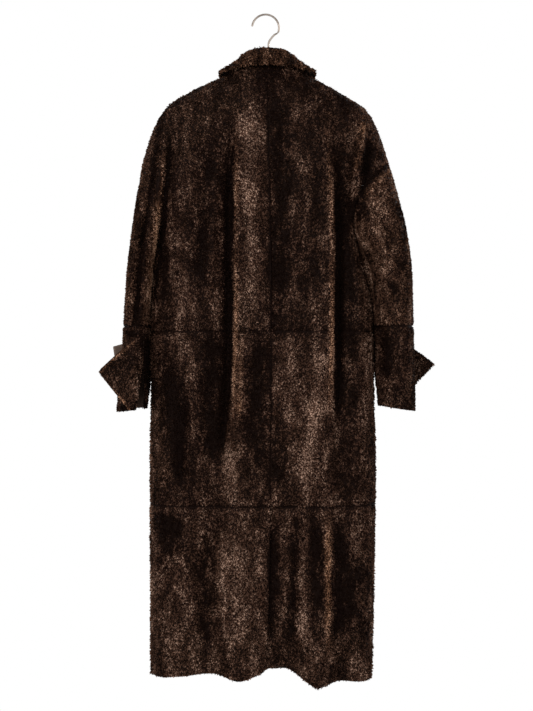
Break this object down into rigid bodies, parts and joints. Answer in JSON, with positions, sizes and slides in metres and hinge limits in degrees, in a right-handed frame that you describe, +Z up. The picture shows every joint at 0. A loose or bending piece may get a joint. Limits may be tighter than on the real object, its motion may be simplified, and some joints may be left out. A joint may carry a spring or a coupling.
{
  "type": "shearling coat on a hanger",
  "caption": "Long dark brown shearling coat hung from its shoulders on a wooden hanger with a steel hook; folded collar, dropped shoulders, turned back cuff corners, back vent",
  "frame": {"origin": "where the inside of the hook's top bears on the peg that holds the hanger", "axes": "+Z up; the coat's back faces -Y and its front +Y; +X is the wearer's right, at the right of the picture"},
  "size_m": [0.6746, 0.1849, 1.3277],
  "materials": {
    "shearling": "clipped curly wool pile on suede, dark chocolate brown",
    "hanger_wood": "clear satin varnish",
    "hanger_steel": "polished wire"
  },
  "bodies": {
    "root": {"back_upper_left": "shearling", "back_middle_left": "shearling", "back_lower_left": "shearling", "back_upper_right": "shearling", "back_middle_right": "shearling", "back_lower_right": "shearling", "front_left": "shearling", "front_right": "shearling", "sleeve_left": "shearling", "cuff_left": "shearling", "sleeve_right": "shearling", "cuff_right": "shearling", "cuff_flap_left": "shearling", "cuff_corner_left": "shearling", "cuff_flap_right": "shearling", "collar_stand": "shearling", "collar_fall": "shearling", "hanger_bar": "hanger_wood", "hanger_hook": "hanger_steel"}
  },
  "joints": []
}
